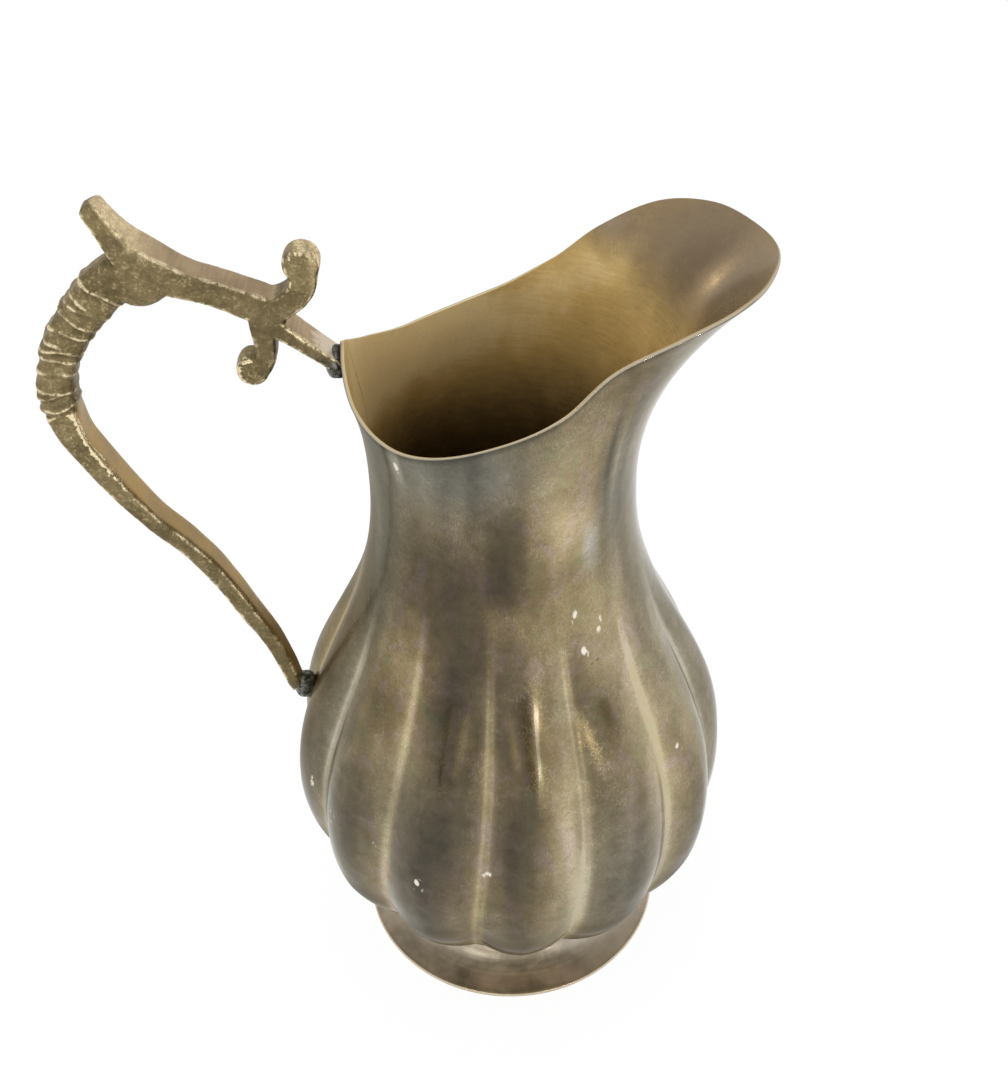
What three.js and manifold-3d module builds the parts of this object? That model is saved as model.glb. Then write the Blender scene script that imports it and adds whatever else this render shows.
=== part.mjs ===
// A brass jug: a raised sheet body with chased lobes and a helmet spout, a spun foot ring,
// and a cast handle with ribs, horn and scrolls that is soldered to the rim and to the belly.
// Millimetres, +Z up, spout towards +X, handle towards -X. The box of the jug is centred over the origin
// and the foot stands on Z = 0.
import * as THREE from "three";
import { mergeVertices } from "three/addons/utils/BufferGeometryUtils.js";
import Module from "manifold-3d";

// Body of revolution
const sheet = 1.0;
const baseRadius = 29;
const bellyRadius = 61.0;
const bellyRise = 56;
const waistRadius = 33.3;
const waistRise = 157;
const underBellyPull = 24;
const overBellyPull = 44;
const underWaistPull = 49;
// Where the flat bottom turns up into the belly, measured from the base radius and the bottom
const heelOut = 5.5;
const heelUp = 2.5;
const heelPull = 25;
const heelLean = 49;
const heelFlat = 3.4;
const bottomDish = 15;

// Lobes chased into the belly, one crease behind the lower end of the handle
const lobeCount = 13;
const creaseAzimuth = 178;
const creaseDepth = 3.5;
const lobeStartRise = 1;
const lobeFullRise = 8;
const lobeFadeRise = 78;
const lobeEndRise = 134;
// Degrees by which the creases turn over the rise in which they do so
const creaseTwist = 6;
const twistRise = 100;

// Rim of the mouth: degrees from the spout, distance from the axis, rise above the waist
const rimStations = [
  [0, 62.7, 60.6],
  [13, 60.4, 60.2],
  [25, 56.4, 59.8],
  [38, 49.4, 57.1],
  [52, 40.4, 50.1],
  [68, 36.8, 40.2],
  [92, 33.6, 32.2],
  [130, 35.7, 26.2],
  [154, 37.3, 29.6],
  [180, 37.3, 38.9],
];
const flarePower = 2.3;

// Foot ring
const footRadius = 44.6;
const footHeight = 8;
const footSheet = 1.3;
const footLip = 0.9;
const footLipRound = 0.35;
const footTread = 1.7;
const footNeckOut = 2.2;
const footNeckDrop = 4.4;
const flareFlat = 7.5;
const hollowFlat = 5;
const hollowDrop = 5.2;
const footSeamWidth = 1.2;
const seamRound = 0.6;
const seamUnder = 0.45;

// Handle casting. Places are [out, up] from the back of the rim, out being away from the neck,
// followed by the depth in the handle's plane and the width across it.
const grip = [
  [36.5, 18.6, 7, 8.8],
  [42.4, 18.2, 13.0, 9.0],
  [46.5, 18.8, 12.8, 9.2],
  [50.2, 17.5, 11.2, 9.2],
  [55.0, 12.6, 11.0, 9.2],
  [59.6, 7.4, 10.4, 9.2],
  [63.5, 1.4, 9.6, 9.2],
  [66.3, -4.9, 9.2, 9.2],
  [67.7, -11.8, 9.6, 9.2],
  [67.4, -18.9, 8.6, 9.0],
];
const hornAndBranch = [
  [51.5, 37.4, 4.6, 6.0],
  [49.1, 32.8, 5.0, 6.6],
  [46.5, 28.2, 6.2, 7.8],
  [43.4, 24.0, 8.2, 8.8],
  [38.5, 20.3, 8.4, 8.4],
  [32.6, 17.4, 7.1, 7.8],
  [28.0, 15.9, 6.8, 7.4],
  [22.8, 13.6, 7.2, 7.2],
  [18.6, 11.6, 7.7, 7.2],
  [15.0, 10.4, 7.2, 7.2],
  [11.5, 11.5, 6.0, 7.2],
  [8.3, 13.9, 6.0, 7.0],
  [6.6, 17.2, 6.3, 7.0],
  [6.5, 20.0, 6.4, 7.0],
  [6.7, 21.6, 6.4, 7.0],
];
const lowerScroll = [
  [17.2, 10.0, 6.2, 7.2],
  [17.2, 5.2, 5.9, 7.2],
  [17.0, 1.0, 5.5, 7.2],
  [17.4, -2.9, 5.2, 7.2],
  [18.9, -5.4, 5.4, 7.2],
  [20.7, -5.9, 5.8, 7.2],
];
const strut = [
  [16.8, 8.9, 6.6, 7.8],
  [13.2, 5.6, 4.9, 8.0],
  [9.4, 2.5, 3.9, 8.0],
  [5.3, -1.1, 3.6, 7.6],
  [1.5, -4.3, 3.6, 7.2],
  [-5.0, -9.9, 3.6, 7.2],
];
const upperBudRadius = 4.3;
const budEdge = 1.6;
const lowerBudRadius = 4.0;
// Ribs of the grip: shares of its length, half width, height over the flats, and how far the flats draw in
const ribPlaces = [0.29, 0.375, 0.46, 0.535, 0.6, 0.67, 0.745, 0.83, 0.93];
const ribHalfWidth = 1.0;
const ribHeight = 0.7;
const flatDraw = 0.25;
const castEdge = 0.9;
const gripEdge = 2.3;
// Strap from the end of the grip to the belly: share of the way, inset from the straight line, depth, width
const strapJointRise = 83;
const strap = [
  [-0.02, 0.7, 8.0, 9.0],
  [0.06, -1.3, 6.8, 9.0],
  [0.12, -1.4, 6.2, 9.0],
  [0.21, -1.4, 5.8, 8.7],
  [0.34, -0.3, 5.2, 7.8],
  [0.45, 2.2, 5.1, 7.3],
  [0.56, 3.2, 5.1, 6.8],
  [0.7, 2.5, 5.0, 6.2],
  [0.81, 2.0, 4.8, 5.8],
  [0.91, 0.1, 4.4, 5.4],
  [0.98, -1.7, 4.0, 5.0],
  [1.02, -0.6, 3.8, 4.8],
  [1.06, 2.8, 3.6, 4.6],
];
const castingDrop = 0.9;
const castingDropPlace = [31, 15.6];
// Largest share of a section's depth or width that its edge radius may take
const edgeShare = 0.45;

// Solder at the two handle joints: how far it reaches back along the limb from the limb's end inside the body,
// and how far it stands past the limb where it starts and at its end
const upperSolderReach = 10;
const upperSolderCollar = 1.2;
const lowerSolderReach = 13;
const lowerSolderCollar = 1.2;
const solderLip = 0.4;
const strapGap = 6;

// Clear distance kept between pieces that touch
const seat = 0.3;
// How far the room that the body takes up goes on above the rim
const roomOverRim = 2;

// Fineness of the facets
const columnsPerLobe = 6;
const heelRows = 2;
const underBellyRows = 8;
const overBellyRows = 8;
const neckRows = 8;
const flareRows = 5;
const footSides = 48;
const cornerFacets = 2;
const plainGripRows = 4;
const roundSides = 16;
const hornRows = 26;
const scrollRows = 9;
const strutRows = 8;
const strapRows = 21;
const solderRows = 5;
const dropSides = 8;
const dropRings = 6;
const bellySteps = 60;

const wasm = await Module();
wasm.setup();

const radians = THREE.MathUtils.degToRad;
const smooth = THREE.MathUtils.smoothstep;

// Closed skin over rings of points, each ring counter-clockwise seen from the next one,
// with the first and last ring drawn together to a point.
function skin(rings) {
  const centre = (ring) =>
    ring.reduce((sum, p) => sum.add(p), new THREE.Vector3()).divideScalar(ring.length);
  const count = rings[0].length;
  const points = [centre(rings[0]), ...rings.flat(), centre(rings.at(-1))];
  const last = points.length - 1;
  const at = (ring, i) => 1 + ring * count + (i % count);
  const index = [];
  for (let i = 0; i < count; i++) {
    index.push(0, at(0, i + 1), at(0, i));
    for (let ring = 0; ring < rings.length - 1; ring++) {
      index.push(at(ring, i), at(ring, i + 1), at(ring + 1, i + 1));
      index.push(at(ring, i), at(ring + 1, i + 1), at(ring + 1, i));
    }
    index.push(last, at(rings.length - 1, i), at(rings.length - 1, i + 1));
  }
  const geometry = new THREE.BufferGeometry().setFromPoints(points);
  geometry.setIndex(index);
  return geometry;
}

function toSolid(geometry) {
  const bare = geometry.clone();
  bare.deleteAttribute("normal");
  bare.deleteAttribute("uv");
  const merged = mergeVertices(bare, 1e-4);
  return new wasm.Manifold(
    new wasm.Mesh({
      numProp: 3,
      vertProperties: merged.attributes.position.array,
      triVerts: new Uint32Array(merged.index.array),
    }),
  );
}

function toGeometry(solid) {
  const mesh = solid.getMesh();
  const geometry = new THREE.BufferGeometry();
  geometry.setAttribute("position", new THREE.BufferAttribute(mesh.vertProperties, 3));
  geometry.setIndex(new THREE.BufferAttribute(mesh.triVerts, 1));
  geometry.computeVertexNormals();
  return geometry;
}

const joined = (solids) => solids.reduce((sum, solid) => sum.add(solid));

// Value at x of a smooth curve through stations whose first entry is x and whose entry at column is the value
function through(stations, column, x) {
  const last = stations.length - 1;
  let k = 0;
  while (k < last - 1 && x > stations[k + 1][0]) k++;
  const slope = (i) => {
    const before = stations[Math.max(i - 1, 0)];
    const after = stations[Math.min(i + 1, last)];
    return (after[column] - before[column]) / (after[0] - before[0]);
  };
  const [from, to] = [stations[k], stations[k + 1]];
  const span = to[0] - from[0];
  const t = (x - from[0]) / span;
  const start = k === 0 ? 0 : slope(k);
  return (
    from[column] * (1 + 2 * t) * (1 - t) ** 2 +
    to[column] * t * t * (3 - 2 * t) +
    span * t * (1 - t) * (start * (1 - t) - slope(k + 1) * t)
  );
}

// Body
const bottomZ = footHeight + seat;
const waistZ = bottomZ + waistRise;
const heel = new THREE.Vector2(baseRadius + heelOut, bottomZ + heelUp);
const crest = new THREE.Vector2(bellyRadius, bottomZ + bellyRise);
const waist = new THREE.Vector2(waistRadius, waistZ);
const heelCurve = new THREE.QuadraticBezierCurve(
  new THREE.Vector2(baseRadius, bottomZ),
  new THREE.Vector2(baseRadius + heelFlat, bottomZ),
  heel,
);
const underBelly = new THREE.CubicBezierCurve(
  heel,
  new THREE.Vector2(Math.cos(radians(heelLean)), Math.sin(radians(heelLean)))
    .multiplyScalar(heelPull)
    .add(heel),
  new THREE.Vector2(bellyRadius, crest.y - underBellyPull),
  crest,
);
const overBelly = new THREE.CubicBezierCurve(
  crest,
  new THREE.Vector2(bellyRadius, crest.y + overBellyPull),
  new THREE.Vector2(waistRadius, waistZ - underWaistPull),
  waist,
);

// Share of the crease depth at a height, and how far into a crease an azimuth lies
const creaseStrength = (z) =>
  smooth(z - bottomZ, lobeStartRise, lobeFullRise) * (1 - smooth(z - bottomZ, lobeFadeRise, lobeEndRise));
function creaseShare(azimuth) {
  const turns = ((azimuth - radians(creaseAzimuth)) / (2 * Math.PI)) * lobeCount;
  const acrossLobe = 2 * (turns - Math.floor(turns)) - 1;
  return acrossLobe ** 2;
}

// Turn of the columns at a height
const turnAt = (z) => radians(creaseTwist) * (smooth(z - bottomZ, 0, twistRise) - 0.5);
const aroundAxis = (radius, azimuth, z) =>
  new THREE.Vector3(radius * Math.cos(azimuth), radius * Math.sin(azimuth), z);

function bellyPoint(profile, azimuth) {
  const radius = profile.x - creaseDepth * creaseStrength(profile.y) * creaseShare(azimuth);
  return aroundAxis(radius, azimuth + turnAt(profile.y), profile.y);
}

function neckPoint(share, azimuth) {
  const turned = azimuth + turnAt(waistZ);
  const degrees = Math.abs(THREE.MathUtils.radToDeg(Math.atan2(Math.sin(turned), Math.cos(turned))));
  const radius = waistRadius + (through(rimStations, 1, degrees) - waistRadius) * share ** flarePower;
  return aroundAxis(radius, turned, waistZ + through(rimStations, 2, degrees) * share);
}

const columns = lobeCount * columnsPerLobe;
const azimuths = Array.from(
  { length: columns },
  (_, i) => radians(creaseAzimuth) + (i / columns) * 2 * Math.PI,
);

function bodyRings() {
  const profile = [
    new THREE.Vector2(bottomDish, bottomZ),
    ...heelCurve.getPoints(heelRows).slice(0, -1),
    ...underBelly.getPoints(underBellyRows).slice(0, -1),
    ...overBelly.getPoints(overBellyRows),
  ];
  const rings = profile.map((point) => azimuths.map((azimuth) => bellyPoint(point, azimuth)));
  for (let row = 1; row <= neckRows; row++)
    rings.push(azimuths.map((azimuth) => neckPoint(row / neckRows, azimuth)));
  return rings;
}

// The rings moved along the surface's own normals, inwards where the distance is negative
function offset(rings, distance) {
  return rings.map((ring, row) =>
    ring.map((point, i) => {
      const around = ring[(i + 1) % ring.length].clone().sub(ring.at(i - 1));
      const below = rings[Math.max(row - 1, 0)][i];
      const above = rings[Math.min(row + 1, rings.length - 1)][i];
      const normal = around.cross(above.clone().sub(below)).normalize();
      return point.clone().addScaledVector(normal, distance);
    }),
  );
}

const outside = bodyRings();
const inside = offset(outside, -sheet);
const bodyShell = skin([...outside, ...inside.reverse()]);

// Room that the body takes up, grown by the seat, which cuts whatever is fitted against it
const grown = offset(outside, seat);
const overRim = grown.at(-1).map((point) => new THREE.Vector3(point.x, point.y, point.z + roomOverRim));
const bodyRoom = toSolid(skin([...grown, overRim]));

// Foot ring: spun sheet that flares from the heel of the body to a flat tread
function revolve(outline, sides) {
  const profile = outline.map(([r, z]) => new THREE.Vector2(r, z));
  return new THREE.LatheGeometry(profile, sides).rotateX(Math.PI / 2);
}

const footTop = baseRadius + footNeckOut;
const footLipTop = footLip + footLipRound;
const flare = new THREE.CubicBezierCurve(
  new THREE.Vector2(footTop, footHeight),
  new THREE.Vector2(footTop, footHeight - footNeckDrop),
  new THREE.Vector2(footRadius - flareFlat, footLipTop),
  new THREE.Vector2(footRadius - footLipRound, footLipTop),
);
const hollow = new THREE.CubicBezierCurve(
  new THREE.Vector2(footRadius - footTread, 0),
  new THREE.Vector2(footRadius - footTread - hollowFlat, 0),
  new THREE.Vector2(footTop - footSheet, footHeight - hollowDrop),
  new THREE.Vector2(footTop - footSheet, footHeight),
);
const footOutline = [
  [footRadius, 0],
  [footRadius, footLip],
  ...flare.getPoints(flareRows).reverse().map((p) => [p.x, p.y]),
  ...hollow.getPoints(flareRows).reverse().map((p) => [p.x, p.y]),
  [footRadius, 0],
];
const footRing = revolve(footOutline, footSides);

// Solder fillet in the angle between the neck of the foot ring and the heel of the body
const seamInner = footTop + seat;
const neckFacet = flare.getPoints(flareRows)[1];
const neckSlope = (neckFacet.x - footTop) / (footHeight - neckFacet.y);
const seamFoot = seamInner + neckSlope * footSeamWidth;
const heelZ = (r) => bottomZ + heelUp * ((r - baseRadius) / heelOut) ** 2;
const footSeam = revolve(
  [
    [seamFoot, footHeight - footSeamWidth],
    [seamFoot + seamRound, footHeight - footSeamWidth + seamRound],
    [seamInner + footSeamWidth, heelZ(seamInner + footSeamWidth) - seamUnder],
    [seamInner, heelZ(seamInner) - seamUnder],
    [seamInner, footHeight],
    [seamFoot, footHeight - footSeamWidth],
  ],
  footSides,
);

// Handle casting: limbs of rounded rectangular section along curves in the plane Y = 0
const rimBack = new THREE.Vector3(-through(rimStations, 1, 180), 0, waistZ + through(rimStations, 2, 180));
const fromRim = ([out, up]) => new THREE.Vector3(rimBack.x - out, 0, rimBack.z + up);

const overBellyFine = overBelly.getPoints(bellySteps);
const bellyRadiusAt = (z) => overBellyFine.find((point) => point.y >= z).x;
const strapTop = fromRim(grip.at(-1));
const strapFootZ = bottomZ + strapJointRise;
const strapFoot = new THREE.Vector3(-bellyRadiusAt(strapFootZ), 0, strapFootZ);
function alongStrap([share, inset]) {
  const run = strapFoot.clone().sub(strapTop);
  const inwards = new THREE.Vector3(-run.z, 0, run.x).normalize();
  return strapTop.clone().addScaledVector(run, share).addScaledVector(inwards, inset);
}

// Half of the section's outline is a and b either side of the middle, a in the plane and b across it
function section(middle, tangent, depth, width, edge) {
  const inPlane = new THREE.Vector3(tangent.z, 0, -tangent.x);
  const round = Math.min(edge, depth * edgeShare, width * edgeShare);
  const points = [];
  for (let corner = 0; corner < 4; corner++) {
    const signA = corner === 0 || corner === 3 ? 1 : -1;
    const signB = corner < 2 ? 1 : -1;
    for (let step = 0; step <= cornerFacets; step++) {
      const angle = (corner + step / cornerFacets) * (Math.PI / 2);
      const a = signA * (depth / 2 - round) + round * Math.cos(angle);
      const b = signB * (width / 2 - round) + round * Math.sin(angle);
      points.push(middle.clone().addScaledVector(inPlane, a).setY(b));
    }
  }
  return points;
}

const curveThrough = (stations, place) =>
  new THREE.CatmullRomCurve3(stations.map(place), false, "centripetal");

// Limb through stations; shares holds the places along it, and grow says how much a section there is enlarged
function limb(stations, place, edge, shares, grow = () => 0) {
  const path = curveThrough(stations, place);
  const sizes = new THREE.CatmullRomCurve3(
    stations.map(([, , depth, width]) => new THREE.Vector3(depth, width, 0)),
    false,
    "catmullrom",
  );
  const rings = shares.map((share) => {
    const t = path.getUtoTmapping(share);
    const size = sizes.getPoint(t).addScalar(2 * grow(share));
    return section(path.getPoint(t), path.getTangent(t), size.x, size.y, edge);
  });
  return toSolid(skin(rings));
}
const evenly = (count) => Array.from({ length: count + 1 }, (_, i) => i / count);

// Grip with raised ribs, each a crest between two feet, and a flat between two ribs
function ribbedGrip() {
  const halfWidth = ribHalfWidth / curveThrough(grip, fromRim).getLength();
  const firstFoot = ribPlaces[0] - halfWidth;
  const feet = ribPlaces.flatMap((place) => [place - halfWidth, place, place + halfWidth]);
  const shares = [...evenly(plainGripRows).slice(0, -1).map((share) => share * firstFoot), ...feet, 1];
  const grow = (share) => (ribPlaces.includes(share) ? ribHeight : 0) - flatDraw;
  return limb(grip, fromRim, gripEdge, shares, grow);
}

// Bud at the end of a scroll: a round-edged drum across the handle's plane
function bud(station, radius) {
  const half = station[3] / 2;
  const bevel = budEdge * (1 - Math.SQRT1_2);
  const outline = [
    [0, -half],
    [radius - budEdge, -half],
    [radius - bevel, bevel - half],
    [radius, budEdge - half],
    [radius, half - budEdge],
    [radius - bevel, half - bevel],
    [radius - budEdge, half],
    [0, half],
  ];
  const { x, y, z } = fromRim(station);
  const drum = new THREE.LatheGeometry(outline.map(([r, h]) => new THREE.Vector2(r, h)), roundSides);
  return toSolid(drum.translate(x, y, z));
}

const drop = new THREE.SphereGeometry(castingDrop, dropSides, dropRings);
drop.translate(...fromRim(castingDropPlace).toArray());
const strutShares = evenly(strutRows);
const strapShares = evenly(strapRows);
const casting = joined([
  ribbedGrip(),
  limb(hornAndBranch, fromRim, castEdge, evenly(hornRows)),
  limb(lowerScroll, fromRim, castEdge, evenly(scrollRows)),
  limb(strut, fromRim, castEdge, strutShares),
  limb(strap, alongStrap, castEdge, strapShares),
  bud(hornAndBranch.at(-1), upperBudRadius),
  bud(lowerScroll.at(-1), lowerBudRadius),
  toSolid(drop),
]).subtract(bodyRoom);

// Solder: a collar round the end of a limb, thicker towards the body, cut back from the limb and from the body
function solder(stations, place, reach, collar, limbRoom) {
  const start = 1 - reach / curveThrough(stations, place).getLength();
  const shares = evenly(solderRows).map((share) => start + share * (1 - start));
  const thickness = (share) => solderLip + ((collar - solderLip) * (share - start)) / (1 - start);
  const whole = limb(stations, place, castEdge + solderLip, shares, (share) => seat + thickness(share));
  return toGeometry(whole.subtract(bodyRoom).subtract(limbRoom));
}
const strutRoom = limb(strut, fromRim, castEdge, strutShares, () => seat);
const upperSolder = solder(strut, fromRim, upperSolderReach, upperSolderCollar, strutRoom);

// No solder runs between the strap and the body, where the two lie close together
const strapAndGap = strap.map(([share, inset, depth, width]) => [
  share,
  inset + strapGap / 2,
  depth + strapGap,
  width,
]);
const strapRoom = limb(strapAndGap, alongStrap, castEdge, strapShares, () => seat);
const lowerSolder = solder(strap, alongStrap, lowerSolderReach, lowerSolderCollar, strapRoom);

// Assembly
const brass = new THREE.MeshStandardMaterial({ color: "#8d8160", roughness: 0.36, metalness: 0.95 });
const footBrass = new THREE.MeshStandardMaterial({ color: "#93795a", roughness: 0.42, metalness: 0.95 });
const castBrass = new THREE.MeshStandardMaterial({ color: "#8f7748", roughness: 0.5, metalness: 0.9 });
const greySolder = new THREE.MeshStandardMaterial({ color: "#6d6a60", roughness: 0.6, metalness: 0.7 });

const jug = new THREE.Group();
function addPiece(name, geometry, material) {
  const mesh = new THREE.Mesh(geometry, material);
  mesh.name = name;
  jug.add(mesh);
}
addPiece("body_shell", bodyShell, brass);
addPiece("foot_ring", footRing, footBrass);
addPiece("foot_seam", footSeam, greySolder);
addPiece("handle", toGeometry(casting), castBrass);
addPiece("upper_solder", upperSolder, greySolder);
addPiece("lower_solder", lowerSolder, greySolder);

const middle = new THREE.Box3().setFromObject(jug).getCenter(new THREE.Vector3());
jug.position.set(-middle.x, -middle.y, 0);
const assembly = new THREE.Group();
assembly.add(jug);

export default assembly;
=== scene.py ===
import math

import bpy
import numpy as np
from mathutils import Matrix, Vector


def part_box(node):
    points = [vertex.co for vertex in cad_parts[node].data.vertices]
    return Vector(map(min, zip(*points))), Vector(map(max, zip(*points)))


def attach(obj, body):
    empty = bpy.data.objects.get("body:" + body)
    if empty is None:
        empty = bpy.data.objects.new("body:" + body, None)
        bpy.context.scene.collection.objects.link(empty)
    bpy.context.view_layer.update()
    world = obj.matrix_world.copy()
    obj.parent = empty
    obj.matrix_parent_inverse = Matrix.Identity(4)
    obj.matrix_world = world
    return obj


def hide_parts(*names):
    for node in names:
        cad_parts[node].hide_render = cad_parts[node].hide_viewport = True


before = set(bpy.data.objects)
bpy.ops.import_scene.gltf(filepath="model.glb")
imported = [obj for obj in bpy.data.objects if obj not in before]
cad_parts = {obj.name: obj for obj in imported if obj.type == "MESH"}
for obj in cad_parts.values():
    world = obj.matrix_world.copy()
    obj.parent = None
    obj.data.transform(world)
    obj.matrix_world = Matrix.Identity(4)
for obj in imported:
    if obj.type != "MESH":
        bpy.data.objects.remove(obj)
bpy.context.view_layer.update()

# Jug sizes are worked out in millimetres with the body's axis at X = Y = 0, then moved to the frame
footLow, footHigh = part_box("foot_ring")
axisX = (footLow.x + footHigh.x) * 500
axisY = (footLow.y + footHigh.y) * 500


def toFrame(points):
    return (points + (axisX, axisY, 0)) / 1000


# Values between lattice corners: corner values come from a hash of the corner's whole numbers and the seed,
# blended by 3t^2 - 2t^3 along each axis, and lie between -1 and 1
def lumps(points, size, seed):
    place = points / size + 1000
    corner = np.floor(place).astype(np.int64)
    t = place - corner
    t = t * t * (3 - 2 * t)
    total = np.zeros(points.shape[:-1])
    for offset in np.ndindex(2, 2, 2):
        x, y, z = np.moveaxis(corner + offset, -1, 0)
        mixed = (x * 73856093) ^ (y * 19349663) ^ (z * 83492791) ^ (seed * 2654435761)
        mixed = (mixed ^ (mixed >> 13)) * 1274126177 & 0xFFFFFFFF
        value = ((mixed ^ (mixed >> 16)) & 0xFFFF) / 32767.5 - 1
        weight = np.prod(np.where(np.array(offset) == 1, t, 1 - t), axis=-1)
        total += weight * value
    return total


def smooth(x, low, high):
    t = np.clip((x - low) / (high - low), 0, 1)
    return t * t * (3 - 2 * t)


# Points of a Bezier curve: each control point weighted by its Bernstein polynomial
def bezier(controls, count):
    t = np.linspace(0, 1, count + 1)[:, None]
    n = len(controls) - 1
    weights = [math.comb(n, i) * t**i * (1 - t) ** (n - i) for i in range(n + 1)]
    return sum(weight * np.array(point, float) for weight, point in zip(weights, controls))


# Cubic through stations: slopes are central differences, level at the first station
def through(xs, ys, x):
    xs, ys = np.array(xs, float), np.array(ys, float)
    slopes = np.empty_like(ys)
    slopes[0] = 0
    slopes[1:-1] = (ys[2:] - ys[:-2]) / (xs[2:] - xs[:-2])
    slopes[-1] = (ys[-1] - ys[-2]) / (xs[-1] - xs[-2])
    k = np.clip(np.searchsorted(xs, x, side="left") - 1, 0, len(xs) - 2)
    span = xs[k + 1] - xs[k]
    t = (x - xs[k]) / span
    ends = ys[k] * (1 + 2 * t) * (1 - t) ** 2 + ys[k + 1] * t * t * (3 - 2 * t)
    return ends + span * t * (1 - t) * (slopes[k] * (1 - t) - slopes[k + 1] * t)


def addObject(name, data):
    made = bpy.data.objects.new(name, data)
    bpy.context.scene.collection.objects.link(made)
    return made


# Mesh object of a piece: points in jug millimetres, faces as rows of indices, and values kept per point
def putPiece(name, points, faces, values, material, replaced):
    mesh = bpy.data.meshes.new(name)
    mesh.from_pydata(toFrame(points).tolist(), [], [f for block in faces for f in block.tolist()])
    for key, value in values.items():
        layer = mesh.attributes.new(key, "FLOAT", "POINT")
        layer.data.foreach_set("value", np.ascontiguousarray(value, np.float32).ravel())
    mesh.shade_smooth()
    mesh.materials.append(material)
    piece = addObject(name, mesh)
    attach(piece, "root")
    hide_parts(replaced)
    return piece


# Quads between neighbouring rings, with the ring closed on itself
def ringFaces(rows, columns, closed=False):
    i, j = np.meshgrid(np.arange(rows if closed else rows - 1), np.arange(columns), indexing="ij")
    nextI, nextJ = (i + 1) % rows, (j + 1) % columns
    quads = np.stack([i * columns + j, i * columns + nextJ, nextI * columns + nextJ, nextI * columns + j], -1)
    return quads.reshape(-1, 4)


# Fan from a ring to one more point, turned to face outwards at either end
def fanFaces(start, columns, tip, atEnd):
    j = np.arange(columns)
    here, after = start + j, start + (j + 1) % columns
    tips = np.full(columns, tip)
    return np.stack([tips, here, after] if atEnd else [tips, after, here], -1)


# Rings as one closed form, each end fanned to its middle
def closedRings(rings):
    rows, columns = rings.shape[:2]
    points = np.vstack([rings.reshape(-1, 3), rings[0].mean(0), rings[-1].mean(0)])
    faces = [
        ringFaces(rows, columns),
        fanFaces(0, columns, rows * columns, False),
        fanFaces((rows - 1) * columns, columns, rows * columns + 1, True),
    ]
    return points, faces


# Shader maths: each operator adds one Math node
class Wire:
    def __init__(self, paint, socket):
        self.paint, self.socket = paint, socket

    def maths(self, operation, *values):
        return self.paint.node("ShaderNodeMath", {"operation": operation}, dict(enumerate(values)))

    def larger(self, other):
        return self.maths("MAXIMUM", self, other)

    def __add__(self, other):
        return self.maths("ADD", self, other)

    def __sub__(self, other):
        return self.maths("SUBTRACT", self, other)

    def __rsub__(self, other):
        return self.maths("SUBTRACT", other, self)

    def __mul__(self, other):
        return self.maths("MULTIPLY", self, other)

    __radd__ = __add__
    __rmul__ = __mul__


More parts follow.
